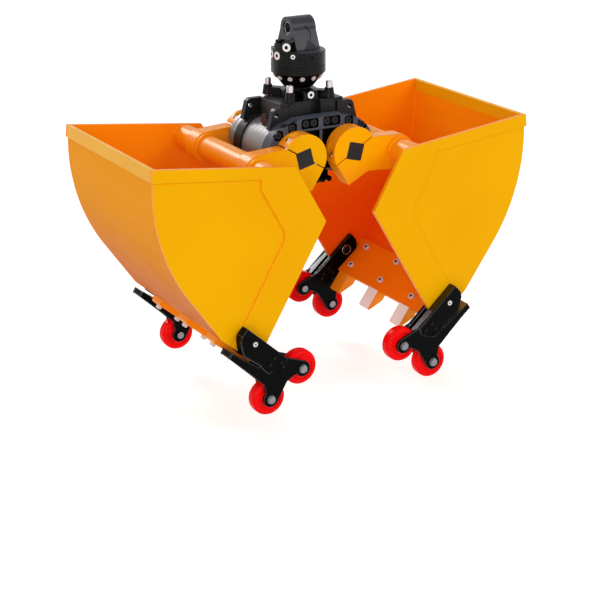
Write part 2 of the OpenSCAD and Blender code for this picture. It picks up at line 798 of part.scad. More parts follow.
module roller_hardware(side) color(silver) at_shell(side) both_ends()
    translate([0, -roller_y, 0]) {
        for (c = [inner_axle, outer_axle]) {
            translate([c[0], -cheek_out, c[1]]) rotate([90, 0, 0])
                hex_bolt(axle_r, 2 * cheek_out, 14.5, 8);
            translate([c[0], 0, c[1]]) bar(13, cheek_out, cheek_out + 8);
        }
        for (c = frame_screws)
            translate([c[0], -cheek_out - cover_t, c[1]]) rotate([90, 0, 0])
                socket_screw(4, 2 * cheek_out + cover_t, 6.5, 3);
        translate([pin_hole[0], 0, pin_hole[1]]) {
            difference() {
                bar(pin_r, -cheek_out - 8, cheek_out + 8);
                bar(3, -cheek_out - 9, -cheek_out + 12);
            }
            rotate([0, 20, 0]) translate([-22, cheek_out + 1, -2]) cube([44, 5, 4]);
        }
    }

// A wheel turns on its axle: a tyre bonded to a hub with a flanged bush
module wheel(side, end, c) color(wheel_red) at_shell(side) one_end(end)
    translate([c[0], -roller_y + wheel_w / 2, c[1]]) rotate([90, 0, 0]) {
        round_r = 12;
        rotate_extrude() difference() {
            union() {
                translate([axle_r + run_clear, 0])
                    square([wheel_r - round_r - axle_r - run_clear, wheel_w]);
                translate([axle_r + run_clear + 10, round_r])
                    square([wheel_r - axle_r - run_clear - 10, wheel_w - 2 * round_r]);
                for (y = [round_r, wheel_w - round_r])
                    translate([wheel_r - round_r, y]) circle(r = round_r);
            }
            for (y = [-cut, wheel_w - 4]) translate([30, y]) square([14, 4 + cut]);
        }
    }

module shaft_left() shaft(-1);
module hub_caps_left() hub_caps(-1);
module cap_bolts_left() cap_bolts(-1);
module torque_tube_left() torque_tube(-1);
module back_plate_left() back_plate(-1);
module rim_bar_left() rim_bar(-1);
module cutting_plate_left() cutting_plate(-1);
module teeth_left() teeth(-1);
module tooth_bolts_left() tooth_bolts(-1);
module roller_hardware_left() roller_hardware(-1);
module arm_front_left() arm(-1, -1);
module side_front_left() side_plate(-1, -1);
module roller_frame_front_left() roller_frame(-1, -1);
module wheel_front_inner_left() wheel(-1, -1, inner_axle);
module wheel_front_outer_left() wheel(-1, -1, outer_axle);
module arm_rear_left() arm(-1, 1);
module side_rear_left() side_plate(-1, 1);
module roller_frame_rear_left() roller_frame(-1, 1);
module wheel_rear_inner_left() wheel(-1, 1, inner_axle);
module wheel_rear_outer_left() wheel(-1, 1, outer_axle);
module shaft_right() shaft(1);
module hub_caps_right() hub_caps(1);
module cap_bolts_right() cap_bolts(1);
module torque_tube_right() torque_tube(1);
module back_plate_right() back_plate(1);
module rim_bar_right() rim_bar(1);
module cutting_plate_right() cutting_plate(1);
module teeth_right() teeth(1);
module tooth_bolts_right() tooth_bolts(1);
module roller_hardware_right() roller_hardware(1);
module arm_front_right() arm(1, -1);
module side_front_right() side_plate(1, -1);
module roller_frame_front_right() roller_frame(1, -1);
module wheel_front_inner_right() wheel(1, -1, inner_axle);
module wheel_front_outer_right() wheel(1, -1, outer_axle);
module arm_rear_right() arm(1, 1);
module side_rear_right() side_plate(1, 1);
module roller_frame_rear_right() roller_frame(1, 1);
module wheel_rear_inner_right() wheel(1, 1, inner_axle);
module wheel_rear_outer_right() wheel(1, 1, outer_axle);

rotator_housing();
lug_bush();
rotator_cover();
cover_bolts();
port_plugs();
hose_fitting();
slew_ring();
rotor_flange();
flange_studs();
flange_plug();
suspension_yoke();
rear_saddle();
drive_tube_left();
drive_tube_right();
front_end_plate();
rear_end_plate();
end_plate_bolts();
valve_block();
shaft_bushes();
shaft_left();
arm_front_left();
arm_rear_left();
hub_caps_left();
cap_bolts_left();
torque_tube_left();
side_front_left();
side_rear_left();
back_plate_left();
rim_bar_left();
cutting_plate_left();
teeth_left();
tooth_bolts_left();
roller_frame_front_left();
roller_frame_rear_left();
roller_hardware_left();
wheel_front_inner_left();
wheel_front_outer_left();
wheel_rear_inner_left();
wheel_rear_outer_left();
shaft_right();
arm_front_right();
arm_rear_right();
hub_caps_right();
cap_bolts_right();
torque_tube_right();
side_front_right();
side_rear_right();
back_plate_right();
rim_bar_right();
cutting_plate_right();
teeth_right();
tooth_bolts_right();
roller_frame_front_right();
roller_frame_rear_right();
roller_hardware_right();
wheel_front_inner_right();
wheel_front_outer_right();
wheel_rear_inner_right();
wheel_rear_outer_right();
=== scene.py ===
"""Two-shell ring grab with roller frames: its looks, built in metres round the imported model."""
import json
import math

import bmesh
import bpy
from mathutils import Matrix, Vector

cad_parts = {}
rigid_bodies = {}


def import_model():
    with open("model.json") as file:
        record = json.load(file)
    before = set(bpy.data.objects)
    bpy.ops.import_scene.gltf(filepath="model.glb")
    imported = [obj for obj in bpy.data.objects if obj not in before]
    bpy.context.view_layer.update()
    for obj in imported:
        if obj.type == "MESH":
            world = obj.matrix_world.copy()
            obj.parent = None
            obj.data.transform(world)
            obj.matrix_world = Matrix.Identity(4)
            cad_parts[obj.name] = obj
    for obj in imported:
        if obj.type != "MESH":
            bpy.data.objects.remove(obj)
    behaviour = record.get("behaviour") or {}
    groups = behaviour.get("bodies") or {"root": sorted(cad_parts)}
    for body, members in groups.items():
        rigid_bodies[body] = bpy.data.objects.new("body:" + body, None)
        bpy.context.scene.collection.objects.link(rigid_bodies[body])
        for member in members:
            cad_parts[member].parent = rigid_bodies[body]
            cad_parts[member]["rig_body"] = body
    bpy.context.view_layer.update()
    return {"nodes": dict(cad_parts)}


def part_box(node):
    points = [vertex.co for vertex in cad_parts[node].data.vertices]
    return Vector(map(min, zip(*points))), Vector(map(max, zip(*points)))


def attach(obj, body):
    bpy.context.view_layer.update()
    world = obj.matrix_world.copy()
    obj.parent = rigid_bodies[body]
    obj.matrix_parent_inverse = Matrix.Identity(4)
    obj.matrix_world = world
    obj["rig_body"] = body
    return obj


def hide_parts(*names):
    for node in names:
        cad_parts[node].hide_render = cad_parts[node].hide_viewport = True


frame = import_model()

bl_info = {
    "name": "Ring Grab",
    "version": (1, 0, 0),
    "blender": (4, 5, 0),
    "location": "View3D > Sidebar > Ring Grab",
    "description": "Builds the looks of a two-shell ring grab round its packed model",
    "category": "Object",
}

MM = 0.001
SIDES = ("left", "right")
ENDS = ("front", "rear")

# Places that the part's source sets, in metres; a shell's own are from its shaft, when closed
HALF_GAP = 0.1
HUB_Z = -0.405
OPEN_ANGLE = math.radians(30.8)
SIDE_IN = 0.334
ARM_IN = 0.158
ARM_OUT = 0.218
TUBE_X = HALF_GAP + 0.179
TUBE_Z = HUB_Z - 0.020
TUBE_R = 0.0445
BACK_CENTRE = (-0.021, 0.013)
BACK_INNER_R = 0.644
BACK_ANGLES = (math.radians(-27.6), math.radians(-66.0))
BACK_FOLDS = 6

# The lug: half its thickness, its foot, where its rounding ends below, and the room round its bore
LUG_HALF = 0.046
LUG_FOOT_Z = -0.0715
LUG_ROUND_Z = -0.06
LUG_BORE_CLEAR = 0.03

# The height of the housing's rim, above which its top is as cast and faces that look up take the
# lug's painted highlight
HOUSING_RIM_Z = -0.078

# The port plugs: angle and height on the housing, and the one in the flange
PORT_R = 0.094
PORTS = ((-145, -0.056), (-170, -0.089), (-131, -0.087), (167, -0.089))
FLANGE_PORT = (0, -0.086, -0.222)
# Inside this radius a plug's socket is painted dark as shade
PORT_SOCKET_R = 0.0062

# How deep the pockets of the front end plate lie, along Y; their faces are painted black as shade
POCKET_DEPTH = (-0.1545, -0.138)

# Round the hub an arm's outline is rounded only outside these, so that the split stays sharp
SPLIT_HALF = 0.006
SPLIT_REACH = 0.09
ARM_FACE_CLEAR = 0.06
CAP_FACE_CLEAR = 0.075

# Roller frames: locking pin, axles, where the cheeks stand and the way the strip's edge faces
PIN = (-0.0325, -0.6267)
PIN_RING_R = 0.018
PIN_RING_Y = 0.309
AXLES = ((-0.2588, -0.6418), (-0.1955, -0.7804))
BOLT_CLEAR = 0.023
PIN_INNER_Y = 0.34
STRIP_Y = (0.3265, 0.3735)
STRIP_WAY = (-0.19, 0.98)
# Heights in the closed shell over which the strip turns from enamel to the bright steel of its
# painted reflection
STRIP_REFLECTION = (-0.682, -0.686)

# Tooth bolts: the first pair at rest, the step to the next one along the plate, and their rows
TOOTH_BOLT = (0.402, -1.0248)
TOOTH_BOLT_STEP = 0.092
TOOTH_BOLT_Y = (-0.1575, 0.0525, 0.2625)
# Inside this radius a bolt's socket is painted dark as shade
TOOTH_SOCKET_R = 0.0068
PLATE_RISE = math.radians(40)
# Teeth in front of this get a painted highlight on their upper faces
REAR_TOOTH_Y = 0.1

# Studio
FLOOR_Z = -1.315
FLOOR_GLOW = 0.45
CAMERA_PLACE = Vector((-2.7801, -4.8106, 1.0363))
CAMERA_RIGHT = Vector((0.8650, -0.5018, -0.0027))
CAMERA_UP = Vector((0.1748, 0.2962, 0.9390))
CAMERA_LENS = 97.54


def linear(code):
    """A colour written as an sRGB hex code, in the linear values that shaders use."""
    parts = [int(code[i:i + 2], 16) / 255 for i in (1, 3, 5)]
    return [p / 12.92 if p <= 0.04045 else ((p + 0.055) / 1.055) ** 2.4 for p in parts]


def colour(name, note, code):
    return bpy.props.FloatVectorProperty(
        name=name, description=note, subtype="COLOR", size=3, min=0, max=1,
        default=linear(code))


def length(name, note, metres):
    return bpy.props.FloatProperty(
        name=name, description=note, subtype="DISTANCE", unit="LENGTH", min=0,
        precision=4, default=metres)


class GrabColours(bpy.types.PropertyGroup):
    """Colours of the grab's finishes"""
    # Painted highlight: the shell coat is a yellower, lit copy of the orange side coat, for faces
    # turned to the light
    lit_shell_coat: colour("Shell coat", "Coat on broad faces of side plates", "#f2ae00")
    lit_shell_coat_thin: colour("Shell coat, thin", "Coat where it lies thinner", "#efa900")
    # Painted shade: the arms' coat drifts towards a deeper orange that stands for the shade on the
    # right arms
    arm_thin: colour("Arm coat, thin", "Coat on the arms where it lies thin", "#fbab02")
    arm_shade_deep: colour("Arm coat, deep", "Deeper orange on the arms, painted as shade", "#f28d16")
    shell_side: colour("Shell coat, sides", "Coat on backs, tubes and edges", "#f9930c")
    # Painted shade: the backs deepen to a brown orange low down, where they face down
    shell_back: colour("Shell coat, backs", "Coat high on the back plates", "#f19a08")
    back_low_shade: colour("Shell coat, low backs", "Coat low on the back plates", "#cf6a0e")
    # Painted shade: the cutting plates' upper faces, low inside the shells, take a deeper orange
    ledge_shade: colour("Shell coat, ledges", "Coat on the cutting plates' upper faces", "#ff8004")
    # Painted shade: inside the shells the coat deepens to a redder orange low down
    shell_inside: colour("Shell coat, inside", "Coat inside the shells", "#ff9003")
    inside_deep_shade: colour("Shell coat, deep inside", "Coat low inside the shells", "#ff6404")
    tooth_highlight: colour("Tooth face", "Painted highlight on a tooth's upper face", "#fff4ec")
    black_enamel: colour("Black enamel", "Roller frames and valve block", "#040405")
    rotator_black: colour("Rotator black", "Rotator housing and cover", "#070706")
    yoke_black: colour("Yoke black", "Suspension yoke and its saddle", "#1e1d1f")
    edge_highlight_black: colour("Edge black", "Lighter enamel along the frames' edges, painted as a highlight", "#3a3532")
    lug_highlight_grey: colour("Lug black", "Cast lug and foot of the rotator", "#23232b")
    end_plate_grey: colour("End plate grey", "Cast end plates of the drive", "#4a4e5a")
    tube_silver: colour("Drive tube silver", "Silver lacquer on the drive tubes", "#8d8a89")
    zinc: colour("Zinc", "Plated bolts and studs", "#d4d5d8")
    steel: colour("Steel", "Machined steel", "#9a9b9e")
    bolt_grey: colour("Bolt grey", "Axle bolts of the wheels", "#8f9096")
    nut_white: colour("Nut white", "Nuts of the teeth", "#e9dde0")
    shaft_black: colour("Shaft black", "Oxide finish of the square shafts", "#2c2a2b")
    wheel_red: colour("Wheel red", "Polyurethane tyres", "#fb0c0e")
    port_white: colour("Port white", "Nylon port plugs", "#f6f6f4")
    bronze: colour("Bronze", "Shaft bushes", "#b98a45")
    floor: colour("Floor", "Studio floor", "#f4f4f4")


class GrabSizes(bpy.types.PropertyGroup):
    """Small sizes that finish the grab's pieces"""
    plate_edge: length("Plate edge", "Width of the broken edge on a cut plate", 0.0012)
    casting_edge: length("Casting edge", "Width of the rounded edge on a casting", 0.003)
    arm_round: length("Arm rounding", "Rounding along an arm's outline", 0.0065)
    lug_round: length("Lug rounding", "Rounding along the lug's outline", 0.011)
    machined_edge: length("Machined edge", "Chamfer on a turned or milled piece", 0.0008)
    screw_edge: length("Screw edge", "Chamfer on the heads of screws and nuts", 0.0006)
    socket_edge: length("Socket edge", "Chamfer on the cover's small socket screws", 0.0005)
    fine_edge: length("Fine edge", "Chamfer on bushes and on the wheels' tyres", 0.0004)
    fold: length("Fold", "Half the width of a press-brake fold in a back plate", 0.003)
    bead: length("Weld bead", "Half the width of a weld bead", 0.0035)
    bead_pitch: length("Bead ripple", "Distance between the ripples of a weld bead", 0.006)
    pin_wire: length("Pin wire", "Half the thickness of the ring on a locking pin", 0.0013)


def colours():
    return bpy.context.scene.grab_colours


def sizes():
    return bpy.context.scene.grab_sizes


def rgba(value):
    return (*value, 1.0)


# MATERIALS

def add_node(tree, kind, settings=None, feeds=None):
    """Adds a node: settings are its properties or input values, feeds the links to its inputs."""
    made = tree.nodes.new(kind)
    for name, value in (settings or {}).items():
        if isinstance(name, str) and name in made.bl_rna.properties:
            setattr(made, name, value)
        else:
            made.inputs[name].default_value = value
    for name, source in (feeds or {}).items():
        tree.links.new(source, made.inputs[name])
    return made


def new_finish(name, **shader_values):
    """A material with one shader, whose even values are set on the shader's own sockets."""
    material = bpy.data.materials.new(name)
    material.use_nodes = True
    tree = material.node_tree
    shader = tree.nodes["Principled BSDF"]
    for socket, value in shader_values.items():
        shader.inputs[socket.replace("_", " ")].default_value = value
    place = add_node(tree, "ShaderNodeTexCoord")
    return material, tree, shader, place


def surface_grain(tree, shader, place, grain, height, rough, drift):
    """Bump of one grain size and a slow drift of roughness, both in metres.

    It hands back the slow noise, so that a colour can drift along with the roughness.
    """
    bumps = add_node(
        tree, "ShaderNodeTexNoise", {"Scale": 1 / grain, "Detail": 2.0},
        {"Vector": place.outputs["Object"]})
    bump = add_node(
        tree, "ShaderNodeBump", {"Strength": 1.0, "Distance": height},
        {"Height": bumps.outputs["Fac"]})
    tree.links.new(bump.outputs["Normal"], shader.inputs["Normal"])
    slow = add_node(
        tree, "ShaderNodeTexNoise", {"Scale": 1 / drift, "Detail": 4.0},
        {"Vector": place.outputs["Object"]})
    spread = add_node(
        tree, "ShaderNodeMapRange",
        {"From Min": 0.3, "From Max": 0.7, "To Min": rough[0], "To Max": rough[1]},
        {"Value": slow.outputs["Fac"]})
    tree.links.new(spread.outputs["Result"], shader.inputs["Roughness"])
    return slow


def blended(tree, shader, first, second, share):
    """Base colour between two tones, by a share from 0 to 1."""
    mix = add_node(
        tree, "ShaderNodeMix", {"data_type": "RGBA", 6: rgba(first), 7: rgba(second)}, {0: share})
    tree.links.new(mix.outputs[2], shader.inputs["Base Color"])


def toned(tree, shader, slow, base, darker):
    """A base colour that drifts a little towards a darker tone of itself."""
    blended(tree, shader, base, [c * darker for c in base], slow.outputs["Fac"])


def powder_coat(name, gloss, rough, peel, drift):
    """Powder coat sprayed on welded plate: an even satin skin with faint orange peel."""
    material, tree, shader, place = new_finish(name, IOR=1.5, Specular_IOR_Level=gloss)
    # Real orange peel is about 2 mm across; it is drawn at 9 mm so that it shows.
    surface_grain(
        tree, shader, place, grain=0.009, height=peel, rough=(rough, rough + 0.1), drift=drift)
    return material, tree, shader, place


def sprayed_powder_coat(name, thick, thin, gloss, rough, peel=0.00007):
    """Powder coat whose colour drifts softly between where it lies thick and where thin."""
    material, tree, shader, place = powder_coat(name, gloss, rough, peel, drift=0.22)
    drift = add_node(
        tree, "ShaderNodeTexNoise", {"Scale": 1 / 0.35, "Detail": 1.0},
        {"Vector": place.outputs["Object"]})
    share = add_node(
        tree, "ShaderNodeMapRange",
        {"interpolation_type": "SMOOTHSTEP", "From Min": 0.35, "From Max": 0.65},
        {"Value": drift.outputs["Fac"]})
    blended(tree, shader, thick, thin, share.outputs["Result"])
    return material


def powder_coat_with_painted_shade(name, high, low, heights, gloss, rough):
    """Powder coat that deepens from one height to a lower one: painted shade, darker low down."""
    material, tree, shader, place = powder_coat(name, gloss, rough, peel=0.00007, drift=0.2)
    spot = add_node(tree, "ShaderNodeSeparateXYZ", feeds={"Vector": place.outputs["Object"]})
    depth = add_node(
        tree, "ShaderNodeMapRange",
        {"interpolation_type": "SMOOTHSTEP", "From Min": heights[0], "From Max": heights[1]},
        {"Value": spot.outputs["Z"]})
    blended(tree, shader, high, low, depth.outputs["Result"])
    return material


def strip_painted_reflection():
    """Edge of a roller frame: enamel above, and along its last stretch bright steel, painted in as
    the glossy enamel's reflection.
    """
    c = colours()
    material, tree, shader, place = new_finish("Steel strip, painted reflection")
    surface_grain(
        tree, shader, place, grain=0.004, height=0.00001, rough=(0.3, 0.34), drift=0.05)
    # The painted reflection begins at a height in the closed shell, so the place is turned back
    # from rest.
    spot = add_node(tree, "ShaderNodeSeparateXYZ", feeds={"Vector": place.outputs["Object"]})
    across = add_node(
        tree, "ShaderNodeMath", {"operation": "ABSOLUTE"}, {0: spot.outputs["X"]})
    reach = add_node(
        tree, "ShaderNodeMath",
        {"operation": "MULTIPLY_ADD", 1: -math.sin(OPEN_ANGLE),
         2: HALF_GAP * math.sin(OPEN_ANGLE) - HUB_Z * math.cos(OPEN_ANGLE)},
        {0: across.outputs["Value"]})
    height = add_node(
        tree, "ShaderNodeMath", {"operation": "MULTIPLY_ADD", 1: math.cos(OPEN_ANGLE)},
        {0: spot.outputs["Z"], 2: reach.outputs["Value"]})
    reflection_share = add_node(
        tree, "ShaderNodeMapRange", {"From Min": STRIP_REFLECTION[0], "From Max": STRIP_REFLECTION[1]},
        {"Value": height.outputs["Value"]})
    blended(tree, shader, c.black_enamel, c.steel, reflection_share.outputs["Result"])
    tree.links.new(reflection_share.outputs["Result"], shader.inputs["Metallic"])
    return material


def painted_tooth_highlight():
    """Coat on the teeth's upper faces, painted pale and matt as a highlight."""
    material, tree, shader, place = new_finish(
        "Powder coat, painted tooth highlight", IOR=1.5, Specular_IOR_Level=0.3)
    slow = surface_grain(
        tree, shader, place, grain=0.004, height=0.00015, rough=(0.5, 0.65), drift=0.05)
    toned(tree, shader, slow, colours().tooth_highlight, 0.88)
    return material


def enamel(name, base, rough, grain, height, gloss):
    """Solvent enamel sprayed on steel: satin, with reflections that the grain breaks up."""
    material, tree, shader, place = new_finish(name, IOR=1.5, Specular_IOR_Level=gloss)
    slow = surface_grain(tree, shader, place, grain, height, rough, drift=0.12)
    toned(tree, shader, slow, base, 0.7)
    return material


def lacquered_tube():
    """Silver lacquer over turned steel: bright along the tube, with faint turning rings."""
    material, tree, shader, place = new_finish(
        "Steel tube, silver lacquer", Metallic=0.6, Roughness=0.45)
    # The turning marks are 0.3 mm apart; they are drawn 4 mm apart so that they show.
    rings = add_node(
        tree, "ShaderNodeTexWave",
        {"bands_direction": "Y", "Scale": 0.05 / 0.004, "Distortion": 1.5, "Detail": 2.0},
        {"Vector": place.outputs["Object"]})
    rough = add_node(
        tree, "ShaderNodeMapRange", {"To Min": 0.4, "To Max": 0.5}, {"Value": rings.outputs["Fac"]})
    tree.links.new(rough.outputs["Result"], shader.inputs["Roughness"])
    slow = add_node(
        tree, "ShaderNodeTexNoise", {"Scale": 1 / 0.09}, {"Vector": place.outputs["Object"]})
    toned(tree, shader, slow, colours().tube_silver, 0.9)
    return material


def plated(name, base, rough):
    """Zinc plate on rolled or turned steel: bright metal with a slightly cloudy grain."""
    material, tree, shader, place = new_finish(name, Metallic=1.0)
    slow = surface_grain(
        tree, shader, place, grain=0.003, height=0.00005, rough=rough, drift=0.01)
    toned(tree, shader, slow, base, 0.82)
    return material


def cast_polyurethane():
    """Polyurethane cast round the wheel's core: glossy, deep red, with soft wide highlights."""
    material, tree, shader, place = new_finish(
        "Polyurethane, cast", IOR=1.5, Specular_IOR_Level=0.06)
    slow = surface_grain(
        tree, shader, place, grain=0.02, height=0.0001, rough=(0.16, 0.26), drift=0.05)
    toned(tree, shader, slow, colours().wheel_red, 0.86)
    return material


def moulded_nylon():
    """Nylon plug, moulded: plain white, slightly waxy."""
    material, tree, shader, place = new_finish("Nylon, moulded", IOR=1.53)
    slow = surface_grain(
        tree, shader, place, grain=0.003, height=0.00005, rough=(0.35, 0.45), drift=0.02)
    toned(tree, shader, slow, colours().port_white, 0.94)
    return material


def make_finishes():
    """Every finish by its short key; grain, height and peel are in metres."""
    c = colours()
    return {
        # Painted highlight: broad faces and rim bars take the yellower, lit copy of the orange coat
        "coat": sprayed_powder_coat(
            "Powder coat, broad faces, painted lit", c.lit_shell_coat, c.lit_shell_coat_thin, gloss=0.04, rough=0.42),
        # Painted shade: the arms' coat is a deeper orange copy of the coat
        "arm": sprayed_powder_coat(
            "Powder coat, arms, painted shade", c.arm_thin, c.arm_shade_deep, gloss=0.04, rough=0.42),
        "gloss": sprayed_powder_coat(
            "Powder coat, sides and tubes", c.shell_side, c.shell_side, gloss=0.2, rough=0.24,
            peel=0.00002),
        "rim": sprayed_powder_coat(
            "Powder coat, rim bars, painted lit", c.lit_shell_coat, c.lit_shell_coat_thin, gloss=0.2, rough=0.3,
            peel=0.00002),
        # Painted shade: the back plates darken towards the bottom
        "back": powder_coat_with_painted_shade(
            "Powder coat, back plates, painted shade", c.shell_back, c.back_low_shade, (-0.45, -1.0), gloss=0.04,
            rough=0.45),
        # Painted shade: the inside coat darkens and reddens towards the bottom
        "inside": powder_coat_with_painted_shade(
            "Powder coat, inside, painted shade", c.shell_inside, c.inside_deep_shade, (-0.42, -0.85), gloss=0.06,
            rough=0.38),
        # Painted shade: a deeper orange for the cutting plates' upper faces
        "ledge": sprayed_powder_coat(
            "Powder coat, cutting plates, painted shade", c.ledge_shade, c.ledge_shade, gloss=0.06, rough=0.4),
        "tooth_highlight_coat": painted_tooth_highlight(),
        "enamel": enamel(
            "Enamel, sprayed", c.black_enamel, rough=(0.34, 0.44), grain=0.006, height=0.00006,
            gloss=0.05),
        "yoke": enamel(
            "Steel block, enamelled", c.yoke_black, rough=(0.3, 0.4), grain=0.005,
            height=0.0001, gloss=0.2),
        # Painted highlight: a lighter enamel for the frames' broken edges
        "edge": enamel(
            "Enamel, painted edge highlight", c.edge_highlight_black, rough=(0.2, 0.3), grain=0.004, height=0.00004,
            gloss=0.6),
        "rotator": enamel(
            "Forged steel, enamelled", c.rotator_black, rough=(0.26, 0.34), grain=0.005,
            height=0.00008, gloss=0.16),
        # Painted highlight: a lighter blue-grey for the lug and the housing's upward faces
        "lug": enamel(
            "Cast steel, enamelled, painted highlight", c.lug_highlight_grey, rough=(0.3, 0.4), grain=0.003,
            height=0.00012, gloss=0.3),
        "casting": enamel(
            "Cast iron, enamelled", c.end_plate_grey, rough=(0.4, 0.5), grain=0.004,
            height=0.0002, gloss=0.2),
        "nut": enamel(
            "Zinc flake, baked", c.nut_white, rough=(0.4, 0.5), grain=0.002, height=0.00004,
            gloss=0.5),
        "shaft": enamel(
            "Steel, black oxide", c.shaft_black, rough=(0.45, 0.55), grain=0.004,
            height=0.00006, gloss=0.15),
        "strip": strip_painted_reflection(),
        "tube": lacquered_tube(),
        "zinc": plated("Zinc, plated", c.zinc, rough=(0.2, 0.34)),
        "bolt": plated("Bolt steel, waxed", c.bolt_grey, rough=(0.24, 0.36)),
        "steel": plated("Steel, milled", c.steel, rough=(0.25, 0.38)),
        "bronze": plated("Bronze, turned", c.bronze, rough=(0.25, 0.35)),
        "tyre": cast_polyurethane(),
        "nylon": moulded_nylon(),
    }


FINISHES = {}


def finish(key):
    """The finish with this key; all are made at the first call."""
    if not FINISHES:
        FINISHES.update(make_finishes())
    return FINISHES[key]


# MESHES

# Points of a node's mesh closer than this are one, and faces closer to flat than this are one
SAME_POINT = 0.02 * MM
FLAT_ANGLE = math.radians(0.4)


def clean_copy(node, soft=None, radius=0):
    """The node's mesh, joined and whole again, with the edges that soft picks rounded."""
    mesh = frame["nodes"][node].data.copy()
    bm = bmesh.new()
    bm.from_mesh(mesh)
    bmesh.ops.remove_doubles(bm, verts=bm.verts, dist=SAME_POINT)
    bmesh.ops.dissolve_limit(
        bm, angle_limit=FLAT_ANGLE, verts=bm.verts, edges=bm.edges)
    if soft:
        bm.normal_update()
        picked = [e for e in bm.edges if len(e.link_faces) == 2 and soft(e)]
        bmesh.ops.bevel(
            bm, geom=picked, offset=radius, segments=4, profile=0.5, affect="EDGES",
            clamp_overlap=True)
    bmesh.ops.triangulate(
        bm, faces=[f for f in bm.faces if len(f.verts) > 4], quad_method="BEAUTY",
        ngon_method="EAR_CLIP")
    bm.normal_update()
    bm.to_mesh(mesh)
    bm.free()
    return mesh


def dress(node, name, finishes, edge, paint=None, angle=28, soft=None, radius=0,
          edge_finish=-1):
    """Stands a copy of a node in its place, with its edges broken and its faces given finishes.

    paint picks a face's finish from its centre and normal, soft the edges that get the large
    radius, angle is how sharp an edge is to be broken, and edge_finish goes on the broken edges.
    """
    mesh = clean_copy(node, soft, radius)
    mesh.materials.clear()
    for key in finishes:
        mesh.materials.append(finish(key))
    for face in mesh.polygons:
        face.use_smooth = True
        face.material_index = paint(face.center, face.normal) if paint else 0
    piece = bpy.data.objects.new(name, mesh)
    bpy.context.scene.collection.objects.link(piece)
    broken = piece.modifiers.new("Broken edges", "BEVEL")
    broken.width = edge
    broken.segments = 2
    broken.loop_slide = False
    broken.material = edge_finish
    broken.limit_method = "ANGLE"
    broken.angle_limit = math.radians(angle)
    broken.use_clamp_overlap = False
    broken.face_strength_mode = "FSTR_ALL"
    flat = piece.modifiers.new("Flat faces stay flat", "WEIGHTED_NORMAL")
    flat.mode = "FACE_AREA"
    flat.use_face_influence = True
    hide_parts(node)
    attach(piece, frame["nodes"][node]["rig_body"])
    return piece


def new_piece(name, bm, key, body):
    """Turns a bmesh into a piece with one finish that rides on a body."""
    mesh = bpy.data.meshes.new(name)
    bm.normal_update()
    bm.to_mesh(mesh)
    bm.free()
    mesh.materials.append(finish(key))
    for face in mesh.polygons:
        face.use_smooth = True
    mesh.set_sharp_from_angle(angle=math.radians(35))
    piece = bpy.data.objects.new(name, mesh)
    bpy.context.scene.collection.objects.link(piece)
    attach(piece, body)
    return piece


def along(point, direction):
    """A place at a point whose Z axis looks along a direction."""
    turn = Vector(direction).to_track_quat("Z", "Y").to_matrix().to_4x4()
    return Matrix.Translation(Vector(point)) @ turn


def round_path(bm, points, radius, closed=True, ripple=None, sides=8, swing=0.14):
    """Adds a round bar along points; a ripple gives it the scales of a weld bead."""
    count = len(points)
    rings = []
    walked = 0.0
    for i, point in enumerate(points):
        before = points[i - 1] if closed or i else point
        after = points[(i + 1) % count] if closed or i < count - 1 else point
        walked += (point - before).length
        swell = radius
        if ripple:
            swell *= 1 + swing * math.sin(2 * math.pi * walked / ripple)
        place = along(point, after - before)
        rings.append([
            bm.verts.new(place @ Vector((swell * math.cos(a), swell * math.sin(a), 0)))
            for a in (2 * math.pi * k / sides for k in range(sides))])
    pairs = list(zip(rings, rings[1:]))
    if closed:
        pairs.append((rings[-1], rings[0]))
    for low, high in pairs:
        for k in range(sides):
            j = (k + 1) % sides
            bm.faces.new((low[k], low[j], high[j], high[k]))
    if not closed:
        bm.faces.new(list(reversed(rings[0])))
        bm.faces.new(rings[-1])


def filled_in(corners, step):
    """Points about a step apart along straight lines between corners."""
    points = []
    for start, end in zip(corners, corners[1:]):
        pieces = max(1, round((end - start).length / step))
        points += [start.lerp(end, i / pieces) for i in range(pieces)]
    return points + [corners[-1]]


def circle_points(centre, axis, radius, count):
    """Points evenly round a circle about an axis."""
    place = along(centre, axis)
    return [
        place @ Vector((
            radius * math.cos(2 * math.pi * i / count),
            radius * math.sin(2 * math.pi * i / count), 0))
        for i in range(count)]


def sign(side):
    """The way a side lies along X."""
    return 1 if side == "right" else -1


def shell_point(side, x, y, z):
    """A point of a closed shell, from its shaft, where it is at rest."""
    c, s = math.cos(OPEN_ANGLE), math.sin(OPEN_ANGLE)
    return Vector((sign(side) * (HALF_GAP + x * c - z * s), y, HUB_Z + x * s + z * c))


def closed_place(side, point):
    """Where a point at rest lies in the closed shell's outline, from its shaft."""
    c, s = math.cos(OPEN_ANGLE), math.sin(OPEN_ANGLE)
    across, up = sign(side) * point.x - HALF_GAP, point.z - HUB_Z
    return across * c + up * s, up * c - across * s


def outline_edge(edge, axis):
    """True for an edge between a face square to an axis and one along it."""
    square = [abs(f.normal[axis]) > 0.9 for f in edge.link_faces]
    return sum(square) == 1


def middle(edge):
    """The point halfway along an edge."""
    return (edge.verts[0].co + edge.verts[1].co) / 2


# OPERATORS

def port_socket_shade_faces(centre, normal):
    """A plug's white ring is even; the walls and floor of its socket are painted dark as shade."""
    spots = [FLANGE_PORT] + [
        (PORT_R * math.cos(math.radians(a)), PORT_R * math.sin(math.radians(a)), z)
        for a, z in PORTS]
    near = min(spots, key=lambda p: (Vector(p) - centre).length)
    out = Vector((near[0], near[1], 0)).normalized()
    offset = centre - Vector(near)
    from_axis = (offset - out * offset.dot(out)).length
    return int(from_axis < PORT_SOCKET_R and offset.dot(out) < MM)


